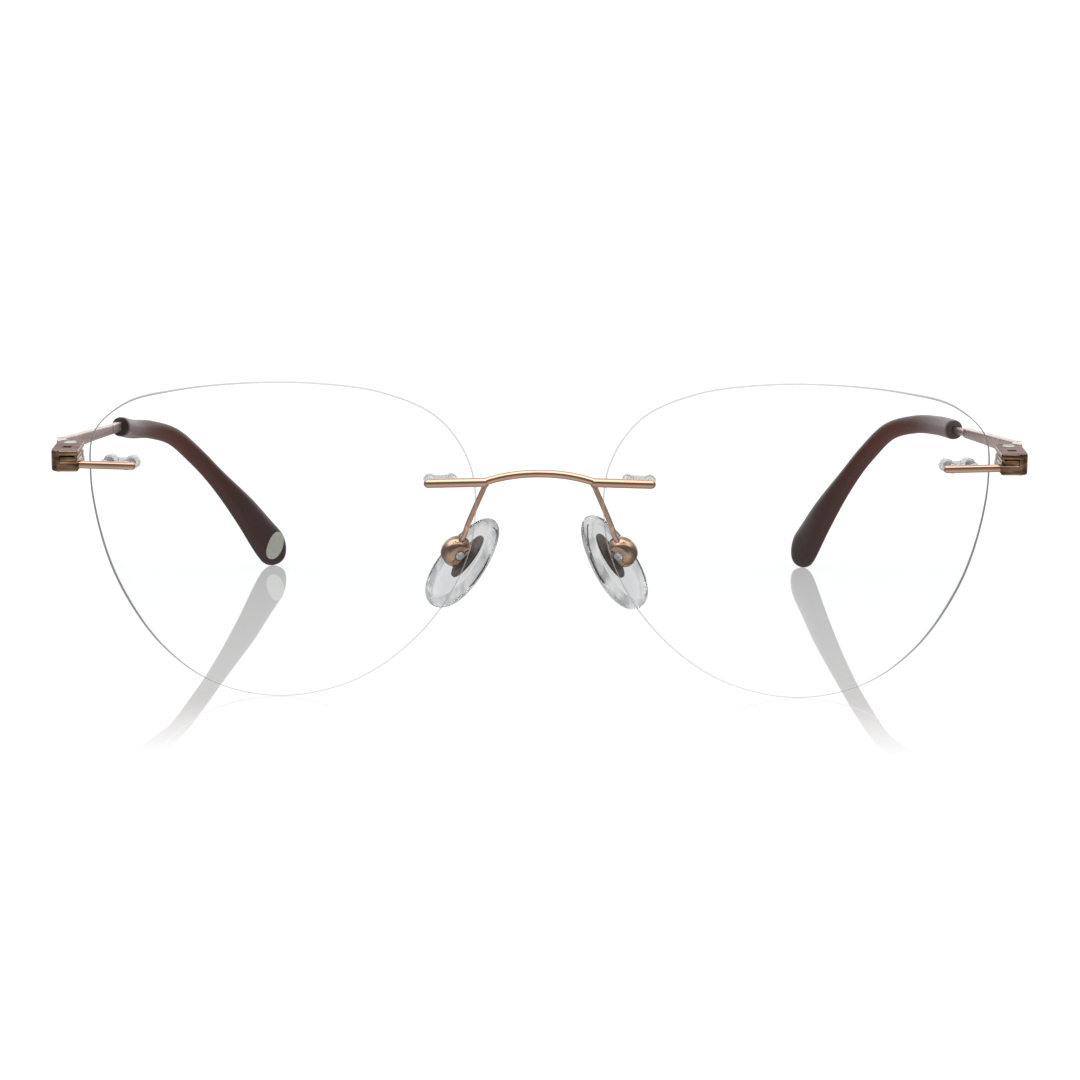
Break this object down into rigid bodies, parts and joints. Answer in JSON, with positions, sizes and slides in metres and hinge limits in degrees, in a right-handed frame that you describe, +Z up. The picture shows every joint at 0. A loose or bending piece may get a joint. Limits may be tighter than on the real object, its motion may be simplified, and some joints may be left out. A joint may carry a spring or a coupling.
{
  "type": "rimless eyeglasses",
  "caption": "Rimless eyeglasses with drilled clear lenses, a wire bridge, adjustable nose pads, hinged temples and plastic temple tips.",
  "frame": {"origin": "middle of the footprint on the surface the glasses stand on, halfway between the lenses and the tips", "axes": "+X to the right seen from the front, +Y back towards the ears, +Z up"},
  "size_m": [0.1364, 0.134, 0.0434],
  "materials": {
    "lens_clear": "polished, clear",
    "rose_gold_metal": "polished rose-gold plating on steel",
    "pale_rose_metal": "satin pale rose plating on steel",
    "silver_metal": "bright steel",
    "plug_clear": "clear moulded plastic",
    "pad_clear": "clear soft silicone",
    "core_taupe": "smooth",
    "tip_brown": "polished translucent brown acetate",
    "badge_grey": "smooth, blank"
  },
  "bodies": {
    "front": {"left_lens": "lens_clear", "right_lens": "lens_clear", "bridge": "rose_gold_metal", "left_bridge_bushing": "plug_clear", "right_bridge_bushing": "plug_clear", "left_endpiece_bushing": "plug_clear", "right_endpiece_bushing": "plug_clear", "left_endpiece": "rose_gold_metal", "right_endpiece": "rose_gold_metal", "left_hinge_screw": "silver_metal", "right_hinge_screw": "silver_metal", "left_pad_arm": "rose_gold_metal", "right_pad_arm": "rose_gold_metal", "left_pad_screw": "silver_metal", "right_pad_screw": "silver_metal"},
    "left_temple": {"left_temple": "pale_rose_metal", "left_temple_tip": "tip_brown", "left_tip_badge": "badge_grey"},
    "right_temple": {"right_temple": "pale_rose_metal", "right_temple_tip": "tip_brown"},
    "left_pad": {"left_pad_core": "core_taupe", "left_nose_pad": "pad_clear"},
    "right_pad": {"right_pad_core": "core_taupe", "right_nose_pad": "pad_clear"}
  },
  "joints": [
    {"name": "left_temple_hinge", "type": "hinge", "parent": "front", "child": "left_temple", "pos_m": [-0.06415, -0.05629, 0.0327], "axis": [0, 0.0785, -0.9969], "range_deg": [0, 79]},
    {"name": "right_temple_hinge", "type": "hinge", "parent": "front", "child": "right_temple", "pos_m": [0.06415, -0.05629, 0.0327], "axis": [0, -0.0785, 0.9969], "range_deg": [0, 84]},
    {"name": "left_pad_rock", "type": "hinge", "parent": "front", "child": "left_pad", "pos_m": [-0.0113, -0.05633, 0.01921], "axis": [-0.3523, 0.8594, 0.3706], "range_deg": [-10, 10]},
    {"name": "right_pad_rock", "type": "hinge", "parent": "front", "child": "right_pad", "pos_m": [0.0113, -0.05633, 0.01921], "axis": [0.3523, 0.8594, 0.3706], "range_deg": [-10, 10]}
  ]
}
